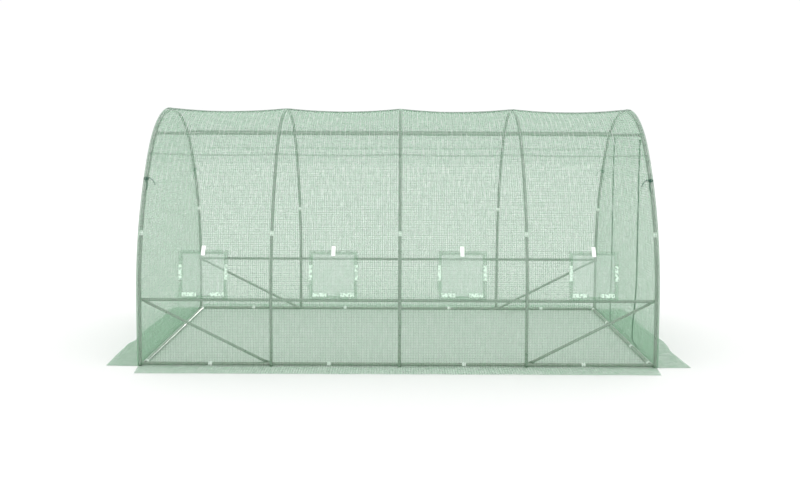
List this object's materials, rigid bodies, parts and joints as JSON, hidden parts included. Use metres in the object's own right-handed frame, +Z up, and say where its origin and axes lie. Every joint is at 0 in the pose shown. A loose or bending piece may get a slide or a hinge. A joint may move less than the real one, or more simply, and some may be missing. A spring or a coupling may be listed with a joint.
{
  "type": "polytunnel greenhouse",
  "caption": "Walk-in polytunnel greenhouse: steel hoops, rails and braces under a green reinforced film cover with skirts, net windows and a zipped door.",
  "frame": {"origin": "on the ground, in the middle of the tunnel's length and width", "axes": "+X along the tunnel to the end with the zipped door, +Y to the long side with no windows, +Z up; the windows face -Y"},
  "size_m": [4.5822, 2.3962, 2.0161],
  "materials": {
    "tube_steel": "dull galvanised tube",
    "white_plastic": "matt moulded",
    "cover_film": "translucent film with a woven grid",
    "insect_net": "fine open mesh",
    "closure_tape": "hook and loop tape",
    "white_webbing": "flat woven strap",
    "zip_tape": "zip tape with moulded teeth",
    "tie_string": "braided string"
  },
  "bodies": {
    "root": {"back_base_rail": "tube_steel", "back_left_brace": "tube_steel", "back_left_tie": "tie_string", "back_legs": "tube_steel", "back_mid_rail": "tube_steel", "back_right_brace": "tube_steel", "back_right_tie": "tie_string", "back_skirt": "cover_film", "back_upper_rail": "tube_steel", "base_rail_clips": "white_plastic", "cover_bay_1": "cover_film", "cover_bay_2": "cover_film", "cover_bay_3": "cover_film", "cover_bay_4": "cover_film", "door_panel": "cover_film", "door_roll_straps": "zip_tape", "door_zips": "zip_tape", "front_base_rail": "tube_steel", "front_left_brace": "tube_steel", "front_left_tie": "tie_string", "front_legs": "tube_steel", "front_mid_rail": "tube_steel", "front_right_brace": "tube_steel", "front_right_tie": "tie_string", "front_skirt": "cover_film", "front_upper_rail": "tube_steel", "hoop_1": "tube_steel", "hoop_2": "tube_steel", "hoop_3": "tube_steel", "hoop_4": "tube_steel", "hoop_5": "tube_steel", "hoop_couplings": "white_plastic", "left_base_rail": "tube_steel", "left_end_wall": "cover_film", "left_skirt": "cover_film", "right_base_rail": "tube_steel", "right_gable": "cover_film", "right_skirt": "cover_film", "right_wall_back": "cover_film", "right_wall_front": "cover_film", "tie_loops": "tie_string", "window_flaps": "cover_film", "window_nets": "insect_net", "window_straps": "white_webbing", "window_strips": "closure_tape"}
  },
  "joints": []
}
